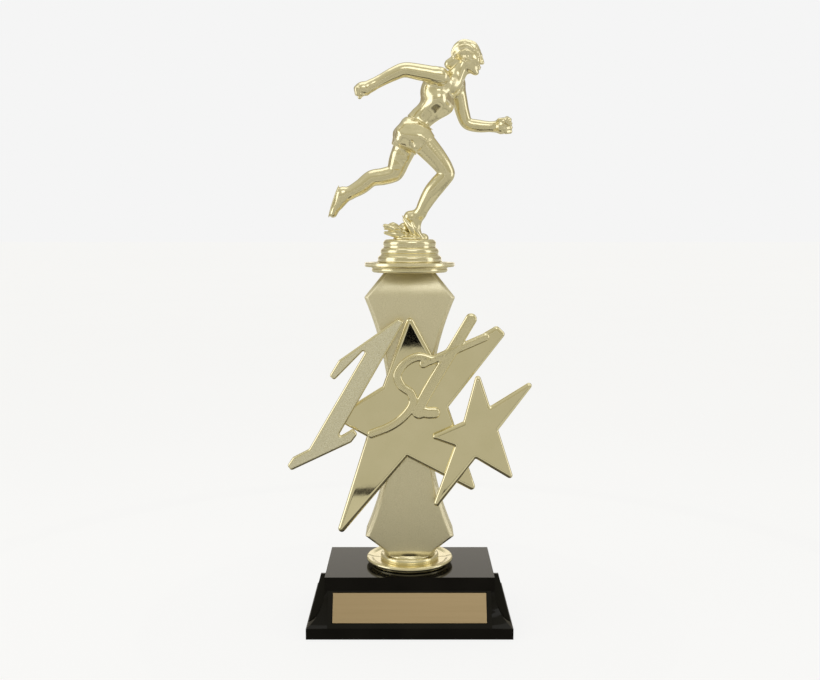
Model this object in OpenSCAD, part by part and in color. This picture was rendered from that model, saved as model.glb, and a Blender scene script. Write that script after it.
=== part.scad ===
// Figure trophy: a weighted black base, a two-piece gold riser that carries stars and an ordinal,
// and a running figure on a ringed pedestal, all held by one threaded rod up the middle.
// Millimetres, +Z up, front is -Y, origin at the middle of the underside.

/* [Base] */
// Width of the bottom slab
slab_w = 110.7; // [90:0.1:130]
// Depth of the bottom slab
slab_d = 72.5; // [55:0.1:90]
// Height of the bottom slab
slab_h = 5.9; // [3:0.1:12]
// Width of the top block
block_w = 91.8; // [75:0.1:110]
// Depth of the top block
block_d = 53.6; // [40:0.1:70]
// Height of the whole base
base_h = 30.9; // [20:0.1:45]
// Height where the coves and the front panel start
cove_top = 23.4; // [15:0.1:30]
// Width of the front and rear panels
panel_w = 88; // [60:0.5:91]
// Wall thickness of the base moulding
base_wall = 2.4; // [1.5:0.1:4]
// How far the side wings stand out at the top
wing_out = 2.6; // [0.5:0.1:4]
// Half depth of a side wing at its top
wing_top = 19; // [10:0.5:25]
// Height of a side wing's top at its rear end
wing_rear_z = 17.6; // [10:0.5:30]
// Half depth of a side wing at its foot
wing_foot = 26.6; // [12:0.1:34]

/* [Engraving plate] */
// Width of the plate
plate_w = 82.6; // [50:0.1:86]
// Height of the plate, up the slope
plate_h = 15.9; // [8:0.1:18]
// Thickness of the plate
plate_t = 0.6; // [0.3:0.1:1]
// How far the plate sits above the middle of the slope
plate_rise = 0.9; // [0:0.1:1.2]
// Thickness of the adhesive behind the plate
tape_t = 0.3; // [0.1:0.1:0.5]

/* [Weight and pad] */
// Width of the cast weight
weight_w = 84; // [50:0.5:86]
// Depth of the cast weight
weight_d = 46; // [25:0.5:48]
// Underside of the cast weight
weight_low = 8; // [3:0.5:12]
// Top of the cast weight
weight_high = 22; // [15:0.5:25]
// Thickness of the pad under the base
pad_t = 1.6; // [0.8:0.1:3]

/* [Riser] */
// Radius of the foot disc
foot_r = 23.2; // [18:0.1:28]
// Height where the faceted body starts
body_low = 37.6; // [34:0.1:42]
// Height of the bend between the lower taper and its neck
bowl_z = 41; // [39:0.1:46]
// Height of the lower swell's widest line
swell_low = 48.5; // [42:0.1:60]
// Height of the upper swell's widest line
swell_high = 181; // [150:0.1:188]
// Height where the faceted body ends
body_high = 194.3; // [185:0.1:196]
// Half width at the lower neck
neck_low_w = 13.2; // [10:0.1:18]
// Half width at the bend of the lower taper
bowl_w = 14.6; // [10:0.1:20]
// Half width at the upper neck
neck_high_w = 13.9; // [10:0.1:18]
// Middle radius of the ring on the foot
ring_r = 14.7; // [12:0.1:18]
// Half width at the swells
swell_w = 24.6; // [18:0.1:30]
// Half width at the waist
waist_w = 11; // [8:0.1:20]
// Half depth at the centre crease
body_half_d = 12; // [9:0.1:16]
// How far the crease stands out of the front face
crease = 1.1; // [0:0.1:3]
// Bevel along the edges of the front face
edge_bevel = 2; // [0.5:0.1:4]
// Wall thickness of the riser mouldings
riser_wall = 1.8; // [1.2:0.1:3]
// Height of the riser's top face
riser_top = 199.7; // [150:0.1:250]
// Radius of the top flange
flange_r = 23.6; // [18:0.1:28]

/* [Stars and ordinal] */
// Thickness of the large star
star_t = 3.2; // [2:0.1:5]
// Thickness of the numeral and the small star
front_t = 3.4; // [2:0.1:5]
// Thickness of the ordinal letters
letter_thick = 1.8; // [1:0.1:4]
// Radius that rounds the star tips
tip_r = 1.4; // [0.5:0.1:2.5]

/* [Rod and nuts] */
// Radius of the tie rod
rod_r = 3.175; // [2.5:0.005:4]
// Across the flats of both nuts
nut_flats = 11.1; // [9:0.1:13]
// Height of both nuts
nut_t = 5.6; // [4:0.1:7]
// Radius of the clamp washer
washer_r = 9; // [7:0.1:10]

/* [Figure] */
// Height of the pedestal
pedestal_h = 12.7; // [8:0.1:20]
// Radius of the pedestal's skirt
pedestal_r = 17.8; // [14:0.1:22]

/* [Hidden] */
e = 0.01;
big = 400;
$fn = 64;
hull_fn = 22;
panel_run = (slab_d - block_d) / 2 - 0.3;
panel_fall = cove_top - slab_h;
panel_angle = atan(panel_run / panel_fall);
panel_len = norm([panel_run, panel_fall]);
cove_out = 9;
cove_r = (pow(cove_out, 2) + pow(panel_fall, 2)) / (2 * cove_out);
boss_low = 22.3;
rod_low = 12.5;
rod_high = riser_top + 9.5;
nut_corner_r = nut_flats / sqrt(3);
star_back = body_half_d;
star_face = star_back + star_t;
body_mid = (swell_low + swell_high) / 2;
body_reach = (swell_high - swell_low) / 2;
waist_r = (pow(swell_w - waist_w, 2) + pow(body_reach, 2)) / (2 * (swell_w - waist_w));
body_steps = 14;
pin_r = 1;
peg_r = 1.5;
peg_len = 2.6;
gold = [0.78, 0.74, 0.55];
black = [0.06, 0.055, 0.05];
steel = [0.6, 0.6, 0.62];

// ---- helpers -------------------------------------------------------------

// A block centred in X and Y between two heights.
module slab(w, d, low, high) {
    translate([-w / 2, -d / 2, low]) cube([w, d, high - low]);
}

// A flat shape drawn in X and Z, given thickness from the depth back forwards to front.
module upright(back, front) {
    translate([0, -back, 0]) rotate([90, 0, 0]) linear_extrude(front - back) children();
}

// Unit direction from one point to another.
function way(a, b) = (b - a) / norm(b - a);

// Sideways step from corner i of a line to the edge of a ribbon of width w, mitred at bends.
function ribbon_step(line, i, w) =
    let (before = way(line[max(i - 1, 0)], line[max(i, 1)]),
         after = way(line[min(i, len(line) - 2)], line[min(i + 1, len(line) - 1)]),
         mean = way([0, 0], before + after))
    [-mean[1], mean[0]] * w / 2 / (mean * after);

// A flat ribbon of width w along a line of points.
module ribbon(line, w) {
    steps = [for (i = [0 : len(line) - 1]) ribbon_step(line, i, w)];
    polygon(concat([for (i = [0 : len(line) - 1]) line[i] + steps[i]],
                   [for (i = [len(line) - 1 : -1 : 0]) line[i] - steps[i]]));
}

// Moves to the top middle of the front panel, with +Y up the slope and +Z out of the panel.
module on_panel() {
    translate([0, -block_d / 2, cove_top]) rotate([90 - panel_angle, 0, 0]) children();
}

// A rectangle of a given size and depth range, centred on the front panel.
module panel_sheet(w, h, low, high) {
    on_panel() translate([-w / 2, plate_rise - panel_len / 2 - h / 2, low]) cube([w, h, high - low]);
}

// ---- base ----------------------------------------------------------------

// Upright outline of the coved skirt for a block of the given half width.
module cove_profile(half) {
    difference() {
        translate([-half - cove_out, slab_h - 1]) square([2 * (half + cove_out), panel_fall + 1]);
        for (side = [-1, 1]) translate([side * (half + cove_r), cove_top]) circle(cove_r);
    }
}

module coved_skirt() {
    intersection() {
        upright(-slab_d / 2, slab_d / 2) cove_profile(block_w / 2);
        rotate([0, 0, 90]) upright(-slab_w / 2, slab_w / 2) cove_profile(block_d / 2);
    }
}

module panels() {
    rotate([0, 0, 90]) upright(-panel_w / 2, panel_w / 2)
        polygon([[-block_d / 2, cove_top], [-block_d / 2 - panel_run, slab_h - e],
                 [block_d / 2 + panel_run, slab_h - e], [block_d / 2, cove_top]]);
}

module wings() {
    top = block_w / 2 + wing_out;
    foot = block_w / 2 + cove_out;
    intersection() {
        upright(-slab_d / 2, slab_d / 2)
            polygon([[-top, base_h - 0.5], [-foot, slab_h - e], [foot, slab_h - e], [top, base_h - 0.5]]);
        rotate([0, 0, 90]) upright(-slab_w / 2, slab_w / 2)
            polygon([[-wing_top, base_h], [-wing_foot, slab_h - 1],
                     [wing_foot, slab_h - 1], [wing_top, wing_rear_z]]);
    }
}

module base_shell() {
    color(black) difference() {
        union() {
            slab(slab_w, slab_d, 0, slab_h);
            slab(block_w, block_d, 0, base_h);
            coved_skirt();
            panels();
            wings();
        }
        difference() {
            slab(block_w - 2 * base_wall, block_d - 2 * base_wall, -e, base_h - base_wall);
            translate([0, 0, boss_low]) cylinder(r = washer_r + 2, h = base_h);
            for (x = [-1, 1], y = [-1, 1])
                translate([x * weight_w * 0.42, y * weight_d * 0.36, weight_high])
                    cylinder(r = 3, h = base_h);
        }
        slab(slab_w - 5, slab_d - 5, -e, pad_t);
        translate([0, 0, boss_low - 1]) cylinder(r = rod_r + 0.4, h = base_h);
        panel_sheet(plate_w + 0.8, plate_h + 0.8, -plate_t - tape_t, 2);
    }
}

module base_weight() {
    color([0.3, 0.3, 0.31]) difference() {
        slab(weight_w, weight_d, weight_low, weight_high);
        translate([0, 0, weight_low - 1]) cylinder(r = washer_r + 4, h = 40);
    }
}

module base_pad() {
    color([0.12, 0.14, 0.12]) slab(slab_w - 5.4, slab_d - 5.4, 0, pad_t);
}

module plate_tape() {
    color([0.85, 0.85, 0.8]) panel_sheet(plate_w - 4, plate_h - 2, -plate_t - tape_t, -plate_t);
}

module engraving_plate() {
    color([0.62, 0.53, 0.38]) panel_sheet(plate_w, plate_h, -plate_t, 0);
}

// ---- riser ---------------------------------------------------------------

// Half width of the faceted body at height z: straight on the swells, an arc at the waist.
function body_w(z) =
    z < bowl_z ? neck_low_w + (bowl_w - neck_low_w) * (z - body_low) / (bowl_z - body_low) :
    z < swell_low ? bowl_w + (swell_w - bowl_w) * (z - bowl_z) / (swell_low - bowl_z) :
    z > swell_high ? neck_high_w + (swell_w - neck_high_w) * (body_high - z) / (body_high - swell_high) :
    waist_w + waist_r - sqrt(pow(waist_r, 2) - pow(z - body_mid, 2));

// One side of the section at height z, from the front crease round to the rear one.
function half_section(z, wall) =
    let (w = body_w(z) - wall, d = body_half_d - wall, f = d - crease)
    [[0, -d], [w - edge_bevel, -f], [w, edge_bevel - f], [w, f - edge_bevel], [w - edge_bevel, f]];

function section(z, wall) =
    concat([for (p = half_section(z, wall)) [p[0], p[1], z]],
           [for (p = half_section(z, wall)) [-p[0], -p[1], z]]);

function body_levels() =
    concat([body_low, bowl_z], [for (i = [0 : body_steps]) swell_low + i * 2 * body_reach / body_steps],
           [body_high]);

// The faceted body, drawn in by a wall thickness.
module faceted_body(wall) {
    levels = body_levels();
    n = 10;
    points = [for (z = levels) each section(z, wall)];
    last = (len(levels) - 1) * n;
    sides = [for (k = [0 : len(levels) - 2], i = [0 : n - 1])
        let (a = k * n + i, b = k * n + (i + 1) % n)
        each [[a, a + n, b + n], [a, b + n, b]]];
    polyhedron(points, concat([[for (i = [0 : n - 1]) i]], sides,
                              [[for (i = [n - 1 : -1 : 0]) last + i]]));
}

// Foot disc with its lip, raised ring and neck.
module foot_profile() {
    polygon([[0, base_h], [foot_r - 3.4, base_h], [foot_r - 3.4, base_h + 1.6],
             [foot_r - 0.9, base_h + 1.9], [foot_r, base_h + 2.7], [foot_r - 0.3, base_h + 3.6],
             [foot_r - 1.4, base_h + 3.9], [foot_r - 4.4, base_h + 2.8], [ring_r, base_h + 2.8],
             [ring_r - 1.8, base_h + 5.9], [neck_low_w - 0.4, body_low + 0.4], [0, body_low + 0.4]]);
    translate([ring_r, base_h + 4.4]) circle(1.5);
}

// Top flange with its lip and under-ring.
module flange_profile() {
    polygon([[0, riser_top], [flange_r - 0.4, riser_top], [flange_r, riser_top - 0.4],
             [flange_r, riser_top - 1.4], [flange_r - 0.8, riser_top - 2.3],
             [flange_r - 3.6, riser_top - 3.1], [flange_r - 3.9, riser_top - 4.2],
             [flange_r - 5, riser_top - 5.1], [neck_high_w + 0.5, riser_top - 5.5],
             [0, riser_top - 5.5]]);
}

module riser_solid() {
    faceted_body(0);
    rotate_extrude() foot_profile();
    rotate_extrude() flange_profile();
}

module riser_hollow() {
    bore_r = neck_low_w - riser_wall - 1.2;
    faceted_body(riser_wall);
    translate([0, 0, base_h + 2.6]) cylinder(r = bore_r, h = 8);
    translate([0, 0, riser_top - 10.6]) cylinder(r = bore_r, h = 8);
    translate([0, 0, base_h - 1]) cylinder(r = rod_r + 0.35, h = riser_top);
}

// Places a pin or its socket at the four joints between the two mouldings.
module locating(r, reach) {
    for (x = [-1, 1], z = [base_h + 2.4, riser_top - 2.9])
        translate([x * 17, 0.01, z]) rotate([-90, 0, 0]) translate([0, 0, -1])
            cylinder(r = r, h = reach + 1);
}

module riser_front_shell() {
    color(gold) difference() {
        union() {
            difference() {
                intersection() {
                    riser_solid();
                    translate([-big / 2, -big, 0]) cube([big, big, big]);
                }
                riser_hollow();
            }
            locating(pin_r, 2);
        }
        star_pegs(peg_r + 0.05);
    }
}

module riser_rear_shell() {
    color(gold) difference() {
        intersection() {
            riser_solid();
            translate([-big / 2, 0, 0]) cube([big, big, big]);
        }
        riser_hollow();
        locating(pin_r + 0.06, 2.4);
    }
}

// ---- stars and ordinal ---------------------------------------------------

// Outline points of the large star, tip and notch in turn from the top, clockwise.
large_star_points = [[0, 172], [14.6, 147.8], [53.4, 167.2], [22, 121.9], [35.9, 75.2],
                     [-1.2, 93.6], [-38.6, 51], [-24.5, 105.2], [-42, 115.8], [-15.4, 134]];

// Outline points of the small star, in the same order.
small_star_points = [[36.7, 141], [43.9, 124], [67, 136.5], [49.2, 109.9], [55.8, 82],
                     [35.8, 92.9], [13, 65.8], [23.4, 100.9], [11.4, 106], [28.2, 115.3]];

// A star with its tips cut back and rounded.
module star_outline(points) {
    centre = [for (i = [0, 1]) (points[1][i] + points[3][i] + points[5][i]
                                + points[7][i] + points[9][i]) / 5];
    difference() {
        polygon(points);
        for (i = [0 : 2 : 8]) let (out = points[i] - centre)
            translate(points[i]) rotate(atan2(out[1], out[0])) translate([-tip_r * 1.3, -10]) square(20);
    }
    for (i = [0 : 2 : 8]) let (out = points[i] - centre)
        translate(points[i] - out * (tip_r * 1.3 / norm(out))) circle(tip_r * 0.5);
}

module star_pegs(r) {
    for (z = [100, 128]) translate([0, -star_back, z]) rotate([-90, 0, 0]) translate([0, 0, -0.5])
        cylinder(r = r, h = peg_len + 0.5);
}

// Sockets in the large star's face for the pieces in front of it.
module face_pegs(r, reach) {
    for (p = [[-35.5, 116.2], [20, 106], [10, 128.8]])
        translate([p[0], -star_face, p[1]]) rotate([-90, 0, 0]) translate([0, 0, -0.5])
            cylinder(r = r, h = reach + 0.5);
}

module large_star() {
    color(gold) union() {
        difference() {
            upright(star_back, star_face) star_outline(large_star_points);
            face_pegs(1.05, 1.9);
        }
        star_pegs(peg_r);
    }
}

// Peg on the back of a front piece, chosen by its place in the list above.
module back_peg(at) {
    translate([at[0], -star_face, at[1]]) rotate([-90, 0, 0]) translate([0, 0, -0.5])
        cylinder(r = 1, h = 2);
}

module small_star() {
    color(gold) {
        upright(star_face, star_face + front_t) star_outline(small_star_points);
        back_peg([20, 106]);
    }
}

// Slanted numeral: a tapering stem, a flag at its head and a bar at its foot.
numeral_points = [[-6, 170.2], [-3.6, 168.4], [-37.6, 107], [-30.6, 110.2], [-28.8, 107.6], [-32, 103.4],
                  [-64.2, 88.2], [-66.4, 90.6], [-63.4, 95], [-54.6, 99.6], [-25, 152.4],
                  [-41, 137.8], [-43.2, 140], [-38, 148]];

module numeral_one() {
    color(gold) {
        upright(star_face, star_face + front_t) polygon(numeral_points);
        back_peg([-35.5, 116.2]);
    }
}

// Plain slanted letters s and t, in one piece.
letter_s = [[11.5, 147.6], [4.5, 149.2], [-2.5, 145.8], [-6.6, 139.6], [-4.6, 133.6], [0.6, 129.4],
            [1.6, 123.4], [-3.4, 116.4], [-11, 111], [-20.6, 107.2]];
letter_t = [[13.6, 118.8], [8.6, 119.4], [6.8, 123.4], [34.6, 170.6]];
letter_bar = [[7.4, 145.4], [40.6, 160]];

module ordinal_letters() {
    color(gold) {
        upright(star_face, star_face + letter_thick) {
            ribbon(letter_s, 4.8);
            ribbon(letter_t, 5.8);
            ribbon(letter_bar, 4.6);
        }
        back_peg([10, 128.8]);
    }
}

// ---- rod and nuts --------------------------------------------------------

module tie_rod() {
    color(steel) translate([0, 0, rod_low]) cylinder(r = rod_r, h = rod_high - rod_low);
}

module ring(outer, inner, low, high) {
    translate([0, 0, low]) difference() {
        cylinder(r = outer, h = high - low);
        translate([0, 0, -1]) cylinder(r = inner, h = high - low + 2);
    }
}

module hex_nut(low) {
    translate([0, 0, low]) difference() {
        cylinder(r = nut_corner_r, h = nut_t, $fn = 6);
        translate([0, 0, -1]) cylinder(r = rod_r + 0.05, h = nut_t + 2);
    }
}

module clamp_washer() {
    color(steel) ring(washer_r, rod_r + 0.3, boss_low - 1.2, boss_low);
}

module lock_washer() {
    color(steel) difference() {
        ring(6.2, rod_r + 0.2, boss_low - 2.8, boss_low - 1.2);
        translate([0, -0.6, boss_low - 4]) cube([10, 1.2, 6]);
    }
}

module clamp_nut() {
    color(steel) hex_nut(boss_low - 2.8 - nut_t);
}

module figure_nut() {
    color(steel) hex_nut(riser_top + 2);
}

// ---- figure --------------------------------------------------------------

// Height of the pedestal's top, where the tuft stands.
pedestal_top = riser_top + pedestal_h - 0.05;

// Radius and height above the riser of each of the pedestal's three beads, and the bead's size.
beads = [[15.9, 1.9, 1.9], [14, 5.9, 2.1], [12.1, 10.2, 2.45]];

module figure_pedestal() {
    top = pedestal_top - riser_top;
    color(gold) difference() {
        translate([0, 0, riser_top]) rotate_extrude() {
            square([pedestal_r, 1.1]);
            polygon([[0, 0], [beads[0][0], 0], [beads[0][0], beads[0][1]], [beads[1][0], beads[1][1]],
                     [beads[2][0], beads[2][1]], [beads[2][0], top], [0, top]]);
            for (b = beads) translate([b[0], b[1]]) circle(b[2]);
        }
        translate([0, 0, riser_top - 1]) cylinder(r = nut_corner_r + 0.02, h = nut_t + 3.1, $fn = 6);
        translate([0, 0, riser_top - 1]) cylinder(r = rod_r + 0.4, h = 11);
    }
}

// A tapering limb between two points.
module limb(a, ra, b, rb) {
    hull() {
        translate(a) sphere(ra, $fn = hull_fn);
        translate(b) sphere(rb, $fn = hull_fn);
    }
}

// Blades and rocks under the running foot: where each starts, ends, and how thick it is.
tuft_blades = [[[-5, -3, 213.6], [-13.2, -5, 218.2], 1], [[-4, -2, 213.6], [-11.2, -1, 215.8], 1.1],
               [[-5, 1, 213.6], [-9.6, 3, 219.4], 0.9], [[-2, -6, 213.6], [-5.6, -7.4, 219], 1.2],
               [[1, -5, 213.6], [-1, -7, 220.6], 1.1], [[4, 1, 213.6], [8.6, 0, 214.6], 1.4],
               [[4, -5, 213.6], [6.6, -6.4, 216.8], 1.2]];

module ground_tuft() {
    clear = 0.1;
    color(gold) difference() {
        union() {
            translate([0, 0, pedestal_top]) cylinder(r = 8, h = 1.6);
            for (b = tuft_blades) limb(b[0], 1.7, b[1], b[2]);
        }
        translate([-20, -20, pedestal_top - 10]) cube([40, 40, 10]);
        for (b = [[near_heel, near_ball], [near_ankle, near_ball], [near_ankle, near_heel]])
            limb(b[0][0], b[0][1] + clear, b[1][0], b[1][1] + clear);
    }
}

// Joints of the running body: place and radius.
pelvis = [[1.6, 0, 268.8], 7.4];
waist = [[6.6, 0, 277.6], 6.2];
chest = [[15.7, -0.4, 289.6], 8.6];
neck = [[25, 0.4, 298.6], 3.9];
skull = [[30.2, 0, 311], 7];
near_shoulder = [[15.6, -8.8, 298.8], 4.3];
near_elbow = [[-2.7, -11.3, 301.2], 3.8];
near_wrist = [[-20, -11.2, 293.4], 2.6];
near_fist = [[-25.4, -11.2, 291.1], 4];
far_shoulder = [[26.2, 8.6, 296.8], 3.9];
far_elbow = [[31.8, 11, 275.4], 3.5];
far_wrist = [[46.2, 10, 273.8], 2.6];
far_fist = [[51.6, 9.8, 274.2], 4.2];
near_hip = [[5, -4.6, 265.8], 6.9];
near_knee = [[19.2, -5.3, 247.2], 4.7];
near_calf = [[12, -4.3, 238], 4.4];
near_ankle = [[5.5, -2, 226.5], 2.9];
near_heel = [[0, -1, 224], 2.9];
near_ball = [[6.8, -0.6, 216.4], 2.8];
far_hip = [[-1.2, 4.6, 264.8], 6.9];
far_knee = [[-8.2, 5.2, 247.9], 4.9];
far_calf = [[-20.4, 5.5, 245.6], 4.5];
far_ankle = [[-32.4, 5.8, 238.6], 3.1];
far_heel = [[-36.6, 5.8, 238.3], 3.1];
far_toe = [[-43, 5.8, 226.2], 2.7];

// Pairs of joints that are bridged by flesh.
bones = [[pelvis, waist], [waist, chest], [chest, neck], [neck, skull],
         [near_shoulder, far_shoulder], [near_shoulder, chest], [near_shoulder, near_elbow],
         [near_elbow, near_wrist], [near_wrist, near_fist], [far_shoulder, far_elbow],
         [far_elbow, far_wrist], [far_wrist, far_fist], [pelvis, near_hip], [near_hip, near_knee],
         [near_knee, near_calf], [near_calf, near_ankle], [near_ankle, near_heel],
         [near_heel, near_ball], [near_ankle, near_ball], [pelvis, far_hip], [far_hip, far_knee], [far_knee, far_calf],
         [far_calf, far_ankle], [far_ankle, far_heel], [far_heel, far_toe]];

// A plain head: jaw, nose, and hair drawn back into a knot.
module head_details() {
    limb([30.6, 0, 308.6], 5.8, [33.8, 0, 303.2], 2.2);
    limb([36.4, 0, 310.6], 0.8, [37.8, 0, 307.6], 0.9);
    limb([22.6, 0, 307.6], 3.4, [19.8, 0, 305.4], 2.6);
}

module runner() {
    color(gold) {
        for (b = bones) limb(b[0][0], b[0][1], b[1][0], b[1][1]);
        head_details();
    }
}

// ---- parts ---------------------------------------------------------------

base_shell();
base_weight();
base_pad();
engraving_plate();
plate_tape();
riser_front_shell();
riser_rear_shell();
large_star();
numeral_one();
ordinal_letters();
small_star();
tie_rod();
clamp_washer();
lock_washer();
clamp_nut();
figure_pedestal();
figure_nut();
ground_tuft();
runner();
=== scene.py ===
"""Looks of the figure trophy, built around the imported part. Shapes are given in millimetres."""

import math

import bpy
import numpy as np
import openvdb
from mathutils import Euler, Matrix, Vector


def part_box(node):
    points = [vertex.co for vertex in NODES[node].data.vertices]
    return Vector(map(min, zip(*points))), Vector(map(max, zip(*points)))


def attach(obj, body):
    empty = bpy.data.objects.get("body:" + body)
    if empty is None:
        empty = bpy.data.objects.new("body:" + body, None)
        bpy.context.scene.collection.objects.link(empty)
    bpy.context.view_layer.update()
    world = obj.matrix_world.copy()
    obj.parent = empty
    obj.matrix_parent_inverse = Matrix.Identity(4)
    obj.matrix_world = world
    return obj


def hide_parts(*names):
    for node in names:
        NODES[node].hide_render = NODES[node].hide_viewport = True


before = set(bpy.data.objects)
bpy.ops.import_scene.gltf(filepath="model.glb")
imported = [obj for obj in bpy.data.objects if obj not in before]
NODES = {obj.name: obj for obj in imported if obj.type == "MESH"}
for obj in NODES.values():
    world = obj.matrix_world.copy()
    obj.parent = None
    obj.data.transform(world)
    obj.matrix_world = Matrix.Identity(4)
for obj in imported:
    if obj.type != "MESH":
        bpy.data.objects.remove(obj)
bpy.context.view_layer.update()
MM = 0.001


# ---- sizes shared by several pieces ----------------------------------------

BASE_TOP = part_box("base_shell")[1].z / MM
RISER_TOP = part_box("riser_front_shell")[1].z / MM
FLANGE_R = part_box("riser_front_shell")[1].x / MM
FOOT_R = FLANGE_R - 0.4
PEDESTAL_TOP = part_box("figure_pedestal")[1].z / MM
PEDESTAL_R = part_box("figure_pedestal")[1].x / MM
STAR_BACK = 12.0
STAR_FACE = 15.2
FRONT_FACE = 18.6
LETTER_FACE = 17.0
RIM_SLOPE = 0.7


# ---- material helpers ------------------------------------------------------

def new_material(name, **inputs):
    """A Principled material, with the shader's own sockets set from inputs."""
    material = bpy.data.materials.new(name)
    material.use_nodes = True
    shader = material.node_tree.nodes["Principled BSDF"]
    for key, value in inputs.items():
        shader.inputs[key.replace("_", " ")].default_value = value
    return material, material.node_tree, shader


def noise(tree, scale, detail=2.0, stretch=(1, 1, 1)):
    """Noise over the piece's own coordinates; scale is in cycles per metre."""
    place = tree.nodes.new("ShaderNodeTexCoord")
    mapping = tree.nodes.new("ShaderNodeMapping")
    mapping.inputs["Scale"].default_value = stretch
    texture = tree.nodes.new("ShaderNodeTexNoise")
    texture.inputs["Scale"].default_value = scale
    texture.inputs["Detail"].default_value = detail
    tree.links.new(place.outputs["Object"], mapping.inputs["Vector"])
    tree.links.new(mapping.outputs["Vector"], texture.inputs["Vector"])
    return texture.outputs["Fac"]


def ramp(tree, value, low, high, start=0.35, end=0.65):
    """A colour that runs from low to high as value runs from start to end."""
    node = tree.nodes.new("ShaderNodeValToRGB")
    node.color_ramp.elements[0].position = start
    node.color_ramp.elements[1].position = end
    node.color_ramp.elements[0].color = (*low, 1)
    node.color_ramp.elements[1].color = (*high, 1)
    tree.links.new(value, node.inputs["Fac"])
    return node.outputs["Color"]


def spread(tree, value, low, high):
    """Value mapped from noise's middle range to low..high."""
    node = tree.nodes.new("ShaderNodeMapRange")
    node.inputs["From Min"].default_value = 0.3
    node.inputs["From Max"].default_value = 0.7
    node.inputs["To Min"].default_value = low
    node.inputs["To Max"].default_value = high
    tree.links.new(value, node.inputs["Value"])
    return node.outputs["Result"]


def bump(tree, shader, layers):
    """Stacks bumps from (height, depth in millimetres, strength) and drives the shader's normal."""
    normal = None
    for height, depth, strength in layers:
        node = tree.nodes.new("ShaderNodeBump")
        node.inputs["Strength"].default_value = strength
        node.inputs["Distance"].default_value = depth * MM
        tree.links.new(height, node.inputs["Height"])
        if normal:
            tree.links.new(normal, node.inputs["Normal"])
        normal = node.outputs["Normal"]
    tree.links.new(normal, shader.inputs["Normal"])


# ---- materials -------------------------------------------------------------

def polished_gold(name, smooth, rough):
    material, tree, shader = new_material(name, Metallic=1.0)
    tone = ramp(tree, noise(tree, 60, 3), (0.83, 0.765, 0.53), (0.87, 0.80, 0.57))
    tree.links.new(tone, shader.inputs["Base Color"])
    tree.links.new(spread(tree, noise(tree, 400, 4), smooth, rough), shader.inputs["Roughness"])
    bump(tree, shader, [(noise(tree, 90, 1), 0.12, 0.1)])
    return material


def satin_gold():
    material, tree, shader = new_material("satin_gold", Metallic=1.0)
    tone = ramp(tree, noise(tree, 2600, 2), (0.80, 0.745, 0.56), (0.92, 0.86, 0.67))
    tree.links.new(tone, shader.inputs["Base Color"])
    tree.links.new(spread(tree, noise(tree, 900, 3), 0.34, 0.44), shader.inputs["Roughness"])
    bump(tree, shader, [(noise(tree, 2600, 2), 0.1, 0.5)])
    return material


def sparkle_gold():
    material, tree, shader = new_material("sparkle_gold", Metallic=1.0)
    tone = ramp(tree, noise(tree, 2000, 3), (0.84, 0.79, 0.61), (0.99, 0.96, 0.81))
    tree.links.new(tone, shader.inputs["Base Color"])
    tree.links.new(spread(tree, noise(tree, 1600, 2), 0.25, 0.42), shader.inputs["Roughness"])
    bump(tree, shader, [(noise(tree, 1700, 3), 0.2, 0.6)])
    return material


def black_plastic():
    material, tree, shader = new_material("black_plastic", IOR=1.25)
    tone = ramp(tree, noise(tree, 45, 3), (0.0055, 0.005, 0.0042), (0.008, 0.0072, 0.006))
    tree.links.new(tone, shader.inputs["Base Color"])
    tree.links.new(spread(tree, noise(tree, 300, 4), 0.08, 0.14), shader.inputs["Roughness"])
    bump(tree, shader, [(noise(tree, 60, 1), 0.15, 0.05)])
    return material


def plate_metal():
    material, tree, shader = new_material("plate_metal", Metallic=0.85)
    grain = noise(tree, 900, 4, (0.02, 1, 1))
    tone = ramp(tree, grain, (0.45, 0.34, 0.205), (0.475, 0.36, 0.22))
    tree.links.new(tone, shader.inputs["Base Color"])
    tree.links.new(spread(tree, grain, 0.36, 0.42), shader.inputs["Roughness"])
    bump(tree, shader, [(grain, 0.02, 0.06)])
    return material


def zinc_steel():
    material, tree, shader = new_material("zinc_steel", Metallic=1.0)
    tone = ramp(tree, noise(tree, 500, 3), (0.5, 0.51, 0.53), (0.62, 0.63, 0.66))
    tree.links.new(tone, shader.inputs["Base Color"])
    tree.links.new(spread(tree, noise(tree, 1200, 2), 0.28, 0.42), shader.inputs["Roughness"])
    return material


def cast_weight():
    material, tree, shader = new_material("cast_weight", Metallic=0.7)
    tone = ramp(tree, noise(tree, 350, 5), (0.05, 0.05, 0.052), (0.1, 0.1, 0.103))
    tree.links.new(tone, shader.inputs["Base Color"])
    tree.links.new(spread(tree, noise(tree, 700, 3), 0.6, 0.8), shader.inputs["Roughness"])
    bump(tree, shader, [(noise(tree, 900, 4), 0.3, 0.5)])
    return material


def felt():
    material, tree, shader = new_material("felt", Sheen_Weight=0.3)
    tone = ramp(tree, noise(tree, 2500, 4), (0.008, 0.011, 0.009), (0.02, 0.026, 0.021))
    tree.links.new(tone, shader.inputs["Base Color"])
    tree.links.new(spread(tree, noise(tree, 1500, 3), 0.88, 0.98), shader.inputs["Roughness"])
    bump(tree, shader, [(noise(tree, 3000, 4), 0.2, 0.6)])
    return material


def foam_tape():
    material, tree, shader = new_material("foam_tape")
    tone = ramp(tree, noise(tree, 2000, 3), (0.62, 0.61, 0.56), (0.74, 0.73, 0.68))
    tree.links.new(tone, shader.inputs["Base Color"])
    tree.links.new(spread(tree, noise(tree, 900, 2), 0.75, 0.9), shader.inputs["Roughness"])
    return material


POLISHED = polished_gold("polished_gold", 0.16, 0.23)
MIRROR = polished_gold("mirror_gold", 0.03, 0.06)
SATIN = satin_gold()
SPARKLE = sparkle_gold()
BLACK = black_plastic()
PLATE = plate_metal()
ZINC = zinc_steel()
CAST = cast_weight()
FELT = felt()
TAPE = foam_tape()


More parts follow.
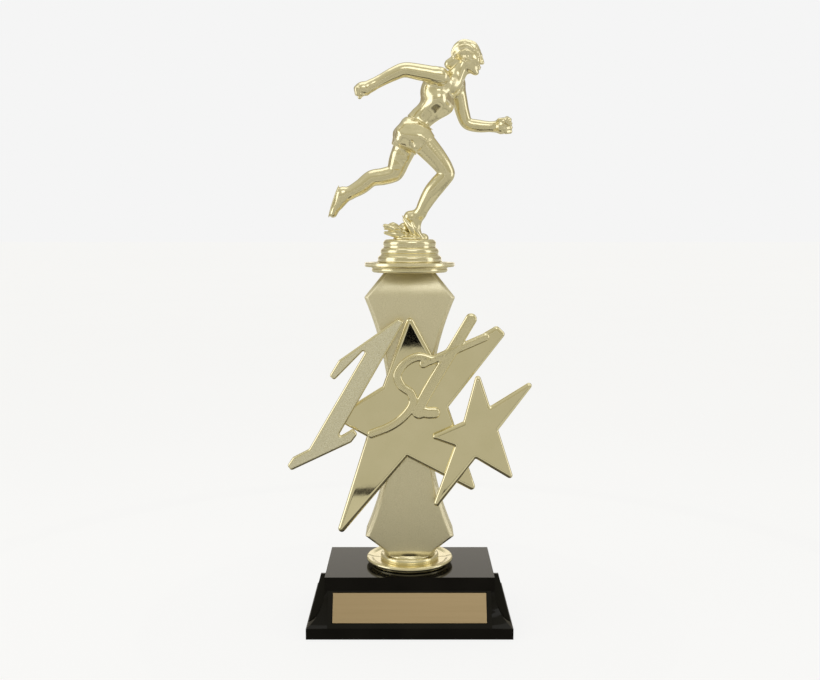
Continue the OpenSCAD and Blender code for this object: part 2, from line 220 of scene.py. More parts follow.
# ---- mesh helpers ----------------------------------------------------------

def piece(name, points, faces, materials, body, replaces, slot, face_slots=None, sharp=None):
    """A shown piece from points in millimetres. sharp is the angle in degrees that keeps an edge crisp."""
    mesh = bpy.data.meshes.new(name)
    mesh.from_pydata([(x * MM, y * MM, z * MM) for x, y, z in points], [], faces)
    for material in materials:
        mesh.materials.append(material)
    if face_slots is not None:
        mesh.polygons.foreach_set("material_index", face_slots)
    mesh.shade_smooth()
    if sharp is not None:
        mesh.set_sharp_from_angle(angle=math.radians(sharp))
    mesh.validate()
    thing = bpy.data.objects.new(name, mesh)
    bpy.context.scene.collection.objects.link(thing)
    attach(thing, body)
    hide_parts(*replaces)
    return thing


def arc(centre, radius, start, end, steps):
    """Points round a centre from one angle to another, in degrees."""
    angles = np.radians(np.linspace(start, end, steps + 1))
    return [(centre[0] + radius * math.cos(a), centre[1] + radius * math.sin(a)) for a in angles]


def revolved(profile, start, end, steps):
    """Points and faces of a profile of (radius, height), turned about the axis between two angles."""
    whole = end - start >= 360
    angles = np.radians(np.linspace(start, end, steps, endpoint=not whole))
    points = [(r * math.cos(a), r * math.sin(a), z) for a in angles for r, z in profile]
    n = len(profile)
    columns = len(angles)
    faces = []
    for k in range(columns if whole else columns - 1):
        a, b = k * n, (k + 1) % columns * n
        faces += [(a + i, b + i, b + i + 1, a + i + 1) for i in range(n - 1)]
    return points, faces


def joined(*parts):
    """Several (points, faces) as one."""
    points, faces = [], []
    for more_points, more_faces in parts:
        shift = len(points)
        points += list(more_points)
        faces += [tuple(i + shift for i in face) for face in more_faces]
    return points, faces


def rounded(outline, radii, steps=5):
    """The outline with each corner rounded to its radius, with the tip left where the corner was given."""
    corners = [Vector(p) for p in outline]
    n = len(corners)
    moved = []
    for i, corner in enumerate(corners):
        before, after = corners[i - 1] - corner, corners[(i + 1) % n] - corner
        half = before.angle(after) / 2
        out = -(before.normalized() + after.normalized()).normalized()
        extra = radii[i] * (1 / math.sin(half) - 1) if half < math.radians(40) else 0
        moved.append(corner + out * extra)
    points = []
    for i, corner in enumerate(moved):
        before, after = moved[i - 1] - corner, moved[(i + 1) % n] - corner
        half = before.angle(after) / 2
        back = min(radii[i] / math.tan(half), before.length * 0.45, after.length * 0.45)
        radius = back * math.tan(half)
        bisector = (before.normalized() + after.normalized()).normalized()
        middle = corner + bisector * (radius / math.sin(half))
        first, last = corner + before.normalized() * back, corner + after.normalized() * back
        for k in range(steps + 1):
            spoke = (first - middle).slerp(last - middle, k / steps) if radius > 1e-6 else Vector((0, 0))
            points.append(middle + spoke)
    return points


def smooth_line(points, per_span=6):
    """A smooth curve through points."""
    knots = [np.array(p, float) for p in points]
    knots = [2 * knots[0] - knots[1]] + knots + [2 * knots[-1] - knots[-2]]
    line = []
    for a, b, c, d in zip(knots, knots[1:], knots[2:], knots[3:]):
        for t in np.linspace(0, 1, per_span, endpoint=False):
            line.append(tuple(0.5 * (2 * b + (c - a) * t + (2 * a - 5 * b + 4 * c - d) * t * t
                                     + (3 * b - a - 3 * c + d) * t ** 3)))
    return line + [tuple(knots[-2])]


# ---- base ------------------------------------------------------------------

def dress_cad(name, material, bevel=0.0, angle=25):
    """Keeps a CAD node's own shape, with a material and, where asked, softened edges."""
    node = NODES[name]
    node.data.materials.clear()
    node.data.materials.append(material)
    if bevel:
        merge = node.modifiers.new("merge", "WELD")
        merge.merge_threshold = 0.00001
        flat = node.modifiers.new("flat", "DECIMATE")
        flat.decimate_type = "DISSOLVE"
        flat.angle_limit = math.radians(1)
        soft = node.modifiers.new("soft", "BEVEL")
        soft.width = bevel * MM
        soft.segments = 3
        soft.limit_method = "ANGLE"
        soft.angle_limit = math.radians(angle)
        soft.harden_normals = True
    return node


def build_base():
    dress_cad("base_shell", BLACK, 0.35)
    dress_cad("base_weight", CAST, 1.0)
    dress_cad("base_pad", FELT)
    dress_cad("engraving_plate", PLATE, 0.15)
    dress_cad("plate_tape", TAPE)


# ---- riser -----------------------------------------------------------------

BODY_LOW, BOWL_LOW, SWELL_LOW, SWELL_HIGH, BODY_HIGH = 37.6, 41.0, 48.5, 181.0, 194.3
NECK_LOW, BOWL, NECK_HIGH, SWELL, WAIST = 13.2, 14.6, 13.9, 24.6, 11.0
RING_R = 14.7
ROD_HOLE_R = 3.5
WALL = 1.6
LIP_WALL_SHARE = 0.2
EDGE_SOFTNESS = 0.45
AROUND = 97
HALF_DEPTH, CREASE, BEVEL = 12.0, 1.1, 2.0


def body_half_width(z):
    """Half width of the faceted body: straight on the swells and an arc at the waist."""
    if z < BOWL_LOW:
        return NECK_LOW + (BOWL - NECK_LOW) * (z - BODY_LOW) / (BOWL_LOW - BODY_LOW)
    if z < SWELL_LOW:
        return BOWL + (SWELL - BOWL) * (z - BOWL_LOW) / (SWELL_LOW - BOWL_LOW)
    if z > SWELL_HIGH:
        return NECK_HIGH + (SWELL - NECK_HIGH) * (BODY_HIGH - z) / (BODY_HIGH - SWELL_HIGH)
    middle, reach = (SWELL_LOW + SWELL_HIGH) / 2, (SWELL_HIGH - SWELL_LOW) / 2
    radius = ((SWELL - WAIST) ** 2 + reach ** 2) / (2 * (SWELL - WAIST))
    return WAIST + radius - math.sqrt(radius ** 2 - (z - middle) ** 2)


def body_section(z, side):
    """Half of the body's section, round one side (-1 front, 1 rear) from left to right."""
    w = body_half_width(z)
    fall = CREASE / SWELL
    edge = w - BEVEL
    right = [(edge, HALF_DEPTH - fall * edge), (w, HALF_DEPTH - fall * edge - BEVEL), (w, 0)]
    left = [(-x, y) for x, y in reversed(right)]
    return [(x, side * y, z) for x, y in left + [(0, HALF_DEPTH)] + right]


def faceted_half(side):
    levels = [BODY_LOW, BOWL_LOW, *np.linspace(SWELL_LOW, SWELL_HIGH, 61), BODY_HIGH]
    rows = [body_section(z, side) for z in levels]
    n = len(rows[0])
    points = [p for row in rows for p in row]
    faces = []
    for k in range(len(rows) - 1):
        for i in range(n - 1):
            a = k * n + i
            quad = (a, a + 1, a + n + 1, a + n)
            faces.append(quad if side < 0 else quad[::-1])
    return points, faces


def foot_profile():
    """From the rod hole out along the underside, round the lip, over the ring and up the neck."""
    z, r = BASE_TOP, FOOT_R
    lip = arc((r - 1.1, z + 2.9), 1.1, -75, 105, 10)
    bead = arc((RING_R, z + 4.3), 1.6, -60, 120, 12)
    dish = [(r - 2.6, z + 3.75), (r - 4.0, z + 3.2), (RING_R + 2.4, z + 3.0), (RING_R + 1.6, z + 3.0)]
    neck = [(NECK_LOW + 0.8, z + 6.2), (NECK_LOW - 0.2, z + 7.0), (NECK_LOW - 0.4, BODY_LOW + 0.6)]
    underside = [(ROD_HOLE_R, z), (r - 3.4, z), (r - 3.2, z + 0.2), (r - 3.2, z + 1.5), (r - 2.9, z + 1.8)]
    return underside + lip + dish + bead + neck


def flange_profile():
    """From the body up round the under-ring and the lip, and in along the top to the rod hole."""
    z, r = RISER_TOP, FLANGE_R
    under = arc((r - 5.2, z - 4.0), 1.45, -80, 40, 10)
    cove = [(r - 3.6, z - 2.75), (r - 2.2, z - 2.5)]
    lip = arc((r - 0.9, z - 1.5), 0.9, -60, 0, 6) + arc((r - 0.5, z - 0.5), 0.5, 0, 90, 5)
    top = [(r - 2.2, z - 0.1), (r - 3.4, z - 0.5), (PEDESTAL_R - 0.6, z - 0.5),
           (PEDESTAL_R - 0.9, z), (ROD_HOLE_R, z)]
    return [(8, z - 5.5), (NECK_HIGH + 0.4, z - 5.5)] + under + cove + lip + top


def build_riser():
    for side, name in ((-1, "riser_front_shell"), (1, "riser_rear_shell")):
        start = 180 if side < 0 else 0
        body_points, body_faces = faceted_half(side)
        half = joined((body_points, body_faces), revolved(foot_profile(), start, start + 180, AROUND),
                      revolved(flange_profile(), start, start + 180, AROUND))
        slots = [0] * len(body_faces) + [1] * (len(half[1]) - len(body_faces))
        thing = piece(name + "_skin", *half, [SATIN, POLISHED], "riser", [name], "satin_gold",
                      slots, sharp=2.6)
        edges = thing.modifiers.new("soft", "BEVEL")
        edges.width = EDGE_SOFTNESS * MM
        edges.segments = 3
        edges.limit_method = "ANGLE"
        edges.angle_limit = math.radians(24)
        edges.use_clamp_overlap = False
        wall = thing.modifiers.new("wall", "SOLIDIFY")
        wall.thickness = WALL * MM
        wall.offset = -1
        # The lips of the foot and flange are too thin for the body's full wall.
        group = thing.vertex_groups.new(name="body")
        group.add(list(range(len(body_points))), 1.0, "REPLACE")
        wall.vertex_group = "body"
        wall.thickness_vertex_group = LIP_WALL_SHARE
    for name in ("tie_rod", "clamp_washer", "lock_washer", "clamp_nut", "figure_nut"):
        dress_cad(name, ZINC)


# ---- stars and ordinal -----------------------------------------------------

# Outlines are (x, z) corners as seen from the front, each with a list of its corners' radii.
# The letters are the middle lines of ribbons.
LARGE_STAR = [(0, 169.8), (13.9, 146.4), (46.9, 166.0), (51.6, 161.6), (20.8, 121.8), (34.8, 76.6),
              (-1.4, 94.5), (-38.2, 52.4), (-23.1, 105.6), (-39.8, 116), (-14.4, 133)]
LARGE_TIPS = [1.4, 0.3, 1.8, 1.8, 0.3, 1.4, 0.3, 1.4, 0.3, 1.4, 0.3]
SMALL_STAR = [(36.7, 139.2), (43.4, 122.9), (65.6, 135.2), (48.1, 109.7), (55.2, 83.6),
              (35.8, 93.8), (13.8, 67.3), (24.2, 100.6), (12.6, 106), (28.9, 114.5)]
SMALL_TIPS = [1.2, 0.3] * 5
NUMERAL = [(-6, 169.8), (-3.6, 168.2), (-37.4, 107.2), (-30.6, 110), (-28.6, 107.4), (-31.6, 103),
           (-64.2, 87.6), (-66.2, 90.2), (-63.4, 94.8), (-54.8, 99.6), (-24.6, 152.2),
           (-40.6, 137), (-43, 139.4), (-38, 147.6)]
NUMERAL_RADII = [0.9, 0.9, 0.3, 1.0, 1.0, 1.2, 1.2, 1.2, 1.4, 0.3, 0.3, 1.2, 1.2, 1.2]
LETTER_S = [(11.5, 147.6), (4.5, 149.2), (-2.5, 145.8), (-6.6, 139.6), (-4.6, 133.6), (0.6, 129.4),
            (1.6, 123.4), (-3.4, 116.4), (-11, 111), (-20.6, 107.2)]
LETTER_T = [(13.4, 118.8), (8.2, 119.2), (6.0, 123.5), (32.9, 169.7)]
LETTER_BAR = [(7.4, 145.4), (40.6, 160)]


# ---- pedestal --------------------------------------------------------------

# Each bead's radius, height above the riser, size, and the two angles that its arc runs between.
PEDESTAL_BEADS = [(15.7, 2.1, 1.75, 0, 75), (13.9, 5.9, 2.1, -35, 75), (12.1, 10.2, 2.4, -30, 90)]


def pedestal_profile():
    """From the hole out along the underside, up over three beads to the middle of the top."""
    z = RISER_TOP
    skirt = arc((PEDESTAL_R - 0.5, z + 0.55), 0.5, -70, 70, 6)
    beads = []
    for r, height, size, start, end in PEDESTAL_BEADS:
        beads += arc((r, z + height), size, start, end, 10)
    return [(6.5, z), (PEDESTAL_R - 0.6, z)] + skirt + beads + [(6, z + 12.6), (0, z + 12.6)]


def build_pedestal():
    points, faces = revolved(pedestal_profile(), 0, 360, 160)
    piece("figure_pedestal_skin", points, faces, [POLISHED], "figure", ["figure_pedestal"],
          "polished_gold", sharp=40)


# ---- clay: shapes blended on a distance grid -------------------------------

class Clay:
    """A distance field on a grid, in millimetres, that shapes are added to and cut from."""

    def __init__(self, low, high, step):
        self.low = np.array(low, np.float32)
        self.step = step
        self.size = np.ceil((np.array(high) - self.low) / step).astype(int) + 1
        self.far = np.float32(6.0)
        self.d = np.full(self.size, self.far, np.float32)

    def window(self, low, high):
        """Slices of the grid that cover a box, and the coordinates there."""
        first = np.clip(np.floor((np.array(low) - self.low) / self.step).astype(int), 0, self.size)
        last = np.clip(np.ceil((np.array(high) - self.low) / self.step).astype(int) + 1, 0, self.size)
        cut = tuple(slice(a, b) for a, b in zip(first, last))
        line = [self.low[k] + self.step * np.arange(first[k], last[k], dtype=np.float32) for k in range(3)]
        return cut, np.meshgrid(*line, indexing="ij", sparse=True)

    def add(self, shape, blend=1.0):
        distance, low, high = shape
        reach = blend + 2.5
        cut, xyz = self.window(np.array(low) - reach, np.array(high) + reach)
        a, b = self.d[cut], distance(*xyz)
        near = np.maximum(blend - np.abs(a - b), 0) / max(blend, 1e-6)
        self.d[cut] = np.minimum(a, b) - near * near * blend * 0.25

    def cut(self, shape, blend=0.5):
        distance, low, high = shape
        reach = blend + 1.0
        cut, xyz = self.window(np.array(low) - reach, np.array(high) + reach)
        a, b = self.d[cut], -distance(*xyz)
        near = np.maximum(blend - np.abs(a - b), 0) / max(blend, 1e-6)
        self.d[cut] = np.maximum(a, b) + near * near * blend * 0.25

    def cover(self, region, low, high, thick, fold):
        """Raises the surface as cloth, thick and folded, where region is below zero, with a crisp hem."""
        cut, xyz = self.window(low, high)
        a = self.d[cut]
        self.d[cut] = np.minimum(a, np.maximum(a - thick - fold(*xyz), region(*xyz)))

    def mesh(self):
        grid = openvdb.FloatGrid(float(self.far))
        grid.copyFromArray(np.clip(self.d, -self.far, self.far))
        points, quads = grid.convertToQuads(0.0)
        return points * self.step + self.low, quads


def bone(a, ra, b, rb):
    """A tapering limb with round ends."""
    a, b = np.array(a, np.float32), np.array(b, np.float32)
    run = b - a
    length = float(run @ run) or 1.0

    def distance(x, y, z):
        t = np.clip(((x - a[0]) * run[0] + (y - a[1]) * run[1] + (z - a[2]) * run[2]) / length, 0, 1)
        dx, dy, dz = x - a[0] - t * run[0], y - a[1] - t * run[1], z - a[2] - t * run[2]
        return np.sqrt(dx * dx + dy * dy + dz * dz) - (ra + (rb - ra) * t)

    return distance, np.minimum(a - ra, b - rb), np.maximum(a + ra, b + rb)


def tube(stations):
    """A limb along a smooth line through stations of (x, y, z, radius)."""
    line = np.array(smooth_line(stations, 8), np.float32)
    pieces = [bone(a[:3], a[3], b[:3], b[3])[0] for a, b in zip(line, line[1:])]

    def distance(x, y, z):
        nearest = pieces[0](x, y, z)
        for more in pieces[1:]:
            nearest = np.minimum(nearest, more(x, y, z))
        return nearest

    return distance, (line[:, :3] - line[:, 3:]).min(0), (line[:, :3] + line[:, 3:]).max(0)


def egg(centre, radii, frame_axes=None):
    """An ellipsoid, with its radii along three axes: forward, left and up unless others are given."""
    centre = np.array(centre, np.float32)
    axes = np.eye(3, dtype=np.float32) if frame_axes is None else np.array(frame_axes, np.float32)
    r = np.array(radii, np.float32)

    def distance(x, y, z):
        p = [((x - centre[0]) * v[0] + (y - centre[1]) * v[1] + (z - centre[2]) * v[2]) for v in axes]
        k0 = np.sqrt(sum((p[i] / r[i]) ** 2 for i in range(3)))
        k1 = np.sqrt(sum((p[i] / r[i] ** 2) ** 2 for i in range(3))) + 1e-6
        return k0 * (k0 - 1) / k1

    reach = np.sqrt(((axes * r[:, None]) ** 2).sum(0))
    return distance, centre - reach, centre + reach


def outline_distance(outline, x, z):
    """Signed distance to a closed outline in the X-Z plane, below zero inside."""
    nearest = np.float32(1e6)
    inside = np.zeros(np.broadcast(x, z).shape, bool)
    for (ax, az), (bx, bz) in zip(outline, outline[1:] + outline[:1]):
        dx, dz = bx - ax, bz - az
        t = np.clip(((x - ax) * dx + (z - az) * dz) / (dx * dx + dz * dz + 1e-9), 0, 1)
        nearest = np.minimum(nearest, (x - ax - t * dx) ** 2 + (z - az - t * dz) ** 2)
        if az != bz:
            inside ^= ((az > z) != (bz > z)) & (x < dx * (z - az) / dz + ax)
    return np.where(inside, -1, 1) * np.sqrt(nearest)


def line_distance(line, x, z):
    """Distance to a line of points in the X-Z plane."""
    nearest = np.float32(1e6)
    for (ax, az), (bx, bz) in zip(line, line[1:]):
        dx, dz = bx - ax, bz - az
        t = np.clip(((x - ax) * dx + (z - az) * dz) / (dx * dx + dz * dz), 0, 1)
        nearest = np.minimum(nearest, (x - ax - t * dx) ** 2 + (z - az - t * dz) ** 2)
    return np.sqrt(nearest)


def slab(flat, low, high, back, front, edge):
    """A flat shape, given by its distance in the X-Z plane, made thick between two depths."""
    middle, half = -(back + front) / 2, (front - back) / 2

    def distance(x, y, z):
        side = flat(x, z) * RIM_SLOPE + edge
        face = np.abs(y - middle) - half + edge
        corner = np.sqrt(np.maximum(side, 0) ** 2 + np.maximum(face, 0) ** 2)
        return np.minimum(np.maximum(side, face), 0) + corner - edge

    return distance, np.array((low[0], -front, low[1])), np.array((high[0], -back, high[1]))


def half_space(point, normal):
    """Below zero on the side that the normal points away from."""
    point, normal = np.array(point, np.float32), np.array(normal, np.float32)
    normal = normal / np.linalg.norm(normal)
    a, b, c = normal
    return lambda x, y, z: (x - point[0]) * a + (y - point[1]) * b + (z - point[2]) * c


def axes_from(forward, up):
    """Forward, left and up directions at right angles."""
    up = Vector(up).normalized()
    forward = (Vector(forward) - up * up.dot(Vector(forward))).normalized()
    return np.array([forward, up.cross(forward), up], np.float32)


# ---- the runner ------------------------------------------------------------

# "near" is the runner's right side, towards the front of the trophy. Stations are (x, y, z, radius).
PELVIS, WAIST_J, CHEST = (1.6, 0, 268.8), (6.2, 0, 277.4), (15.5, -0.4, 289.4)
NECK, SKULL = (25.2, 0.4, 298.6), (31.6, 0, 309.4)
NEAR_ARM = [(16.0, -8.6, 298.4, 4.4), (5.4, -10.4, 300.0, 4.3), (-2.6, -11.3, 301.0, 3.9),
            (-8.6, -11.3, 298.9, 3.6), (-14.6, -11.2, 295.9, 3.2), (-20.0, -11.2, 293.1, 3.1)]
FAR_ARM = [(26.0, 8.6, 297.2, 4.0), (27.6, 10, 288, 4.1), (29.3, 10.8, 281, 3.8),
           (31.8, 11, 275.8, 3.4), (38.4, 10.6, 274.2, 3.4), (46.2, 10, 273.8, 2.6)]
NEAR_LEG = [(5.2, -4.6, 266.0, 6.8), (13.3, -5.0, 257.2, 5.7), (18.4, -5.4, 250.6, 4.8),
            (19.3, -5.3, 246.6, 4.5), (15.5, -4.8, 241.9, 4.7), (11.9, -4.2, 237.4, 4.6),
            (8.4, -3.0, 231.6, 3.9), (5.9, -2.0, 226.4, 3.1)]
FAR_LEG = [(-1.2, 4.6, 265.0, 6.8), (-5.4, 5.0, 255.6, 5.9), (-8.1, 5.2, 248.9, 4.9),
           (-14.0, 5.3, 246.6, 4.7), (-20.8, 5.5, 245.4, 4.5), (-26.4, 5.7, 241.1, 4.2),
           (-32.4, 5.8, 237.7, 3.6)]
NEAR_FIST, FAR_FIST = (-25.3, -11.2, 291.0), (51.7, 9.8, 274.3)
NEAR_HEEL, NEAR_TOE = (-0.6, -1, 224.4), (7.6, -0.6, 215.6)
FAR_HEEL, FAR_TOE = (-37.4, 5.8, 238.2), (-43.9, 5.8, 226.0)


def along(a, b, t, shift=(0, 0, 0)):
    """A point a share t of the way from a to b, moved by shift."""
    return tuple(a[i] + (b[i] - a[i]) * t + shift[i] for i in range(3))


CHEST_AXES = axes_from((0.67, -0.59, -0.44), (0.56, 0.02, 0.83))
HIP_AXES = axes_from((0.86, 0.12, -0.45), (0.45, 0, 0.89))
HEAD_AXES = axes_from((0.97, -0.2, -0.06), (0.13, 0.02, 0.99))


def local(origin, axes, forward, left, up):
    """A point given by steps along a body part's own axes."""
    return tuple(np.array(origin) + forward * axes[0] + left * axes[1] + up * axes[2])


def chest_at(forward, left, up):
    return local(CHEST, CHEST_AXES, forward, left, up)


def hip_at(forward, left, up):
    return local(PELVIS, HIP_AXES, forward, left, up)


def head_at(forward, left, up):
    return local(SKULL, HEAD_AXES, forward, left, up)


def sculpt_torso(clay):
    clay.add(egg(chest_at(-0.6, 0, 1), (6.9, 9.0, 9.4), CHEST_AXES))
    clay.add(egg(chest_at(1.2, 0.6, -7.6), (5.4, 7.2, 6.2), CHEST_AXES), 4)
    clay.add(bone((0.2, 0, 270), 6.2, WAIST_J, 5.8), 4)
    clay.add(egg(hip_at(-0.2, 0, 0.6), (6.3, 8.2, 6.6), HIP_AXES), 4)
    for side in (-1, 1):
        clay.add(egg(chest_at(4.6, side * 3.9, -2.6), (4.2, 4.2, 4.2), CHEST_AXES), 4)
        clay.add(egg(chest_at(-2.6, side * 5.2, 1.6), (5.0, 4.2, 6.8), CHEST_AXES), 3)
        clay.add(egg(hip_at(-3.6, side * 4.2, -2.6), (5.0, 4.6, 5.4), HIP_AXES), 3)
    for shoulder in (NEAR_ARM[0][:3], FAR_ARM[0][:3]):
        clay.add(bone(shoulder, 3.8, along(CHEST, NECK, 0.7), 4.5), 4)
    clay.add(bone(along(CHEST, NECK, 0.6), 4.7, along(NECK, SKULL, 0.5), 4.2), 3)
    for side in (-1, 1):
        throat, ear = local(NECK, CHEST_AXES, 3.4, side * 0.9, -1.6), head_at(-1.2, side * 4.2, -4.2)
        clay.add(bone(ear, 1.0, throat, 0.9), 1.8)
        clay.add(bone(chest_at(3.0, side * 1.4, 8.2), 0.8, chest_at(1.4, side * 7.6, 8.0), 0.8), 1.6)


def sculpt_fist(clay, wrist, fist, palm, size=1.0):
    """A closed hand: palm, four folded fingers and a thumb. palm is the direction the palm faces."""
    axes = axes_from(np.array(fist) - np.array(wrist), -np.array(palm))
    at = lambda f, l, u: local(fist, axes, f * size, l * size, u * size)
    clay.add(bone(wrist, 2.7, at(-1.6, 0, -0.3), 3.0 * size), 1.5)
    clay.add(egg(at(0, 0, 0.4), (3.2 * size, 3.3 * size, 2.6 * size), axes), 1.5)
    for k in range(4):
        side, back = -2.4 + 1.6 * k, 0.2 * abs(k - 1.5)
        knuckle, middle = at(2.1 - back, side, 1.3), at(2.6 - back, side, -0.9)
        tip = at(0.4, side * 0.85, -2.0)
        clay.add(bone(knuckle, 1.0 * size, middle, 0.92 * size), 0.5)
        clay.add(bone(middle, 0.92 * size, tip, 0.85 * size), 0.3)
    clay.add(bone(at(-1.6, -2.4, -0.4), 1.2 * size, at(0.4, -2.9, -1.9), 1.0 * size), 0.8)
    clay.add(bone(at(0.4, -2.9, -1.9), 1.0 * size, at(2.0, -1.2, -2.8), 0.85 * size), 0.4)


def sculpt_leg(clay, leg, knee, front):
    """knee is the number of the station at the knee, and front the direction its cap faces."""
    front = np.array(front, float)
    clay.add(tube(leg), 3)
    joint = np.array(leg[knee][:3])
    clay.add(egg(joint + front * 1.6 + (0, -0.6, 0.3), (3.0, 2.7, 3.2)), 2)
    heel_end = leg[-1][:3]
    calf = along(leg[-3][:3], leg[-2][:3], 0.3)
    clay.add(bone(np.array(calf) - front * 1.0, 2.2, np.array(heel_end) - front * 1.6, 1.0), 2)
    for side in (-1, 1):
        clay.add(egg(np.array(heel_end) + (0, side * 1.7, 0), (1.3, 1.1, 1.3)), 1.4)


def sculpt_shoe(clay, ankle, heel, toe, sole):
    """sole is the direction the sole faces."""
    sole = np.array(sole, float)
    axes = axes_from(np.array(toe) - np.array(heel), -sole)
    length = float(np.linalg.norm(np.array(toe) - np.array(heel)))
    at = lambda f, l, u: local(heel, axes, f, l, u)
    clay.add(bone(ankle, 2.6, at(0.4, 0, 0.6), 3.1), 1.5)
    clay.add(bone(ankle, 2.7, at(length * 0.5, 0, 1.0), 2.4), 1.5)
    clay.add(egg(at(length * 0.16, 0, 0.6), (length * 0.36, 2.9, 3.4), axes), 1.5)
    clay.add(bone(at(length * 0.2, 0, 0.6), 3.1, at(length * 0.92, 0, -0.6), 2.1), 1.8)
    clay.add(egg(at(length * 0.8, 0, -0.7), (length * 0.28, 3.1, 1.9), axes), 1)
    clay.add(egg(at(length * 0.46, 0, -2.5), (length * 0.68, 3.2, 0.75), axes), 0.25)
    clay.add(bone(at(-1.4, 0, 3.4), 0.5, at(1.5, 2.2, 3.8), 0.5), 0.3)
    clay.add(bone(at(-1.4, 0, 3.4), 0.5, at(1.5, -2.2, 3.8), 0.5), 0.3)
    for k in range(4):
        reach = length * (0.34 + 0.1 * k)
        clay.add(bone(at(reach, -1.3, 3.0 - 0.55 * k), 0.3, at(reach, 1.3, 3.0 - 0.55 * k), 0.3), 0.15)


def sculpt_head(clay):
    clay.add(egg(head_at(-1.2, 0, 2.2), (7.3, 5.9, 6.1), HEAD_AXES), 1)
    clay.add(egg(head_at(2.0, 0, -1.2), (5.0, 4.9, 7.0), HEAD_AXES), 2)
    for side in (-1, 1):
        clay.add(bone(head_at(-0.4, side * 3.6, -3.2), 1.7, head_at(4.2, side * 1.2, -7.0), 1.5), 1.8)
        clay.add(egg(head_at(4.6, side * 3.0, -1.6), (2.0, 1.8, 1.9), HEAD_AXES), 1.6)
        clay.cut(egg(head_at(7.7, side * 2.45, 1.1), (1.7, 1.55, 1.15), HEAD_AXES), 1.0)
        clay.add(egg(head_at(5.65, side * 2.35, 1.0), (1.2, 1.35, 1.05), HEAD_AXES), 0.2)
        clay.add(bone(head_at(6.5, side * 1.1, 2.3), 0.42, head_at(5.7, side * 3.7, 2.3), 0.4), 0.9)
        clay.add(bone(head_at(6.75, side * 1.5, 1.45), 0.16, head_at(6.1, side * 3.4, 1.2), 0.16), 0.2)
        clay.add(egg(head_at(-0.6, side * 5.7, -0.3), (1.6, 0.75, 2.2), HEAD_AXES), 0.3)
        clay.cut(egg(head_at(-0.3, side * 6.5, 0.0), (0.9, 0.6, 1.3), HEAD_AXES), 0.4)
        clay.add(egg(head_at(7.5, side * 0.85, -2.5), (0.7, 0.6, 0.55), HEAD_AXES), 0.4)
    clay.add(bone(head_at(6.5, 0, 1.9), 0.65, head_at(8.1, 0, -2.1), 0.85), 0.9)
    clay.add(egg(head_at(6.4, 0, -4.5), (1.1, 1.9, 0.55), HEAD_AXES), 0.5)
    clay.add(egg(head_at(6.3, 0, -5.4), (1.1, 1.6, 0.6), HEAD_AXES), 0.4)
    clay.cut(bone(head_at(7.5, -1.7, -4.95), 0.13, head_at(7.5, 1.7, -4.95), 0.13), 0.2)
    clay.add(egg(head_at(5.1, 0, -7.6), (1.6, 1.7, 1.3), HEAD_AXES), 1.2)


def sculpt_hair(clay):
    """Hair combed back in locks to a knot at the nape."""
    centre = np.array(head_at(-1.7, 0, 2.3), np.float32)
    cap = egg(centre, (7.7, 6.6, 6.7), HEAD_AXES)
    face_line = half_space(head_at(3.9, 0, 3.9), HEAD_AXES[0] * 0.8 - HEAD_AXES[2] * 0.6)
    nape_line = half_space(head_at(-3.5, 0, -2.2), -HEAD_AXES[2] * 0.95 + HEAD_AXES[0] * 0.35)

    def locks(x, y, z):
        dx, dy, dz = x - centre[0], y - centre[1], z - centre[2]
        forward, left, up = HEAD_AXES
        ahead = dx * forward[0] + dy * forward[1]
        side = dx * left[0] + dy * left[1] + dz * left[2]
        rise = dx * up[0] + dy * up[1] + dz * up[2]
        strands = np.sin(np.arctan2(rise + 7.5, side) * 26 + 0.9 * np.sin(ahead * 0.7))
        waves = 0.4 * strands + 0.12 * np.sin(side * 3.1 + rise * 1.3)
        return np.maximum(np.maximum(cap[0](x, y, z) + waves, face_line(x, y, z)), nape_line(x, y, z))

    clay.add((locks, cap[1], cap[2]), 0.25)
    knot = head_at(-9.6, 0, -4.6)
    clay.add(bone(head_at(-6.2, 0, -2.2), 3.4, knot, 3.0), 0.8)
    for turn in range(5):
        a = turn * 2 * math.pi / 5
        start = local(knot, HEAD_AXES, 1.2, 2.0 * math.cos(a), 2.0 * math.sin(a))
        end = local(knot, HEAD_AXES, -1.9, 1.1 * math.cos(a + 1.2), 1.1 * math.sin(a + 1.2))
        clay.add(bone(start, 0.75, end, 0.6), 0.25)


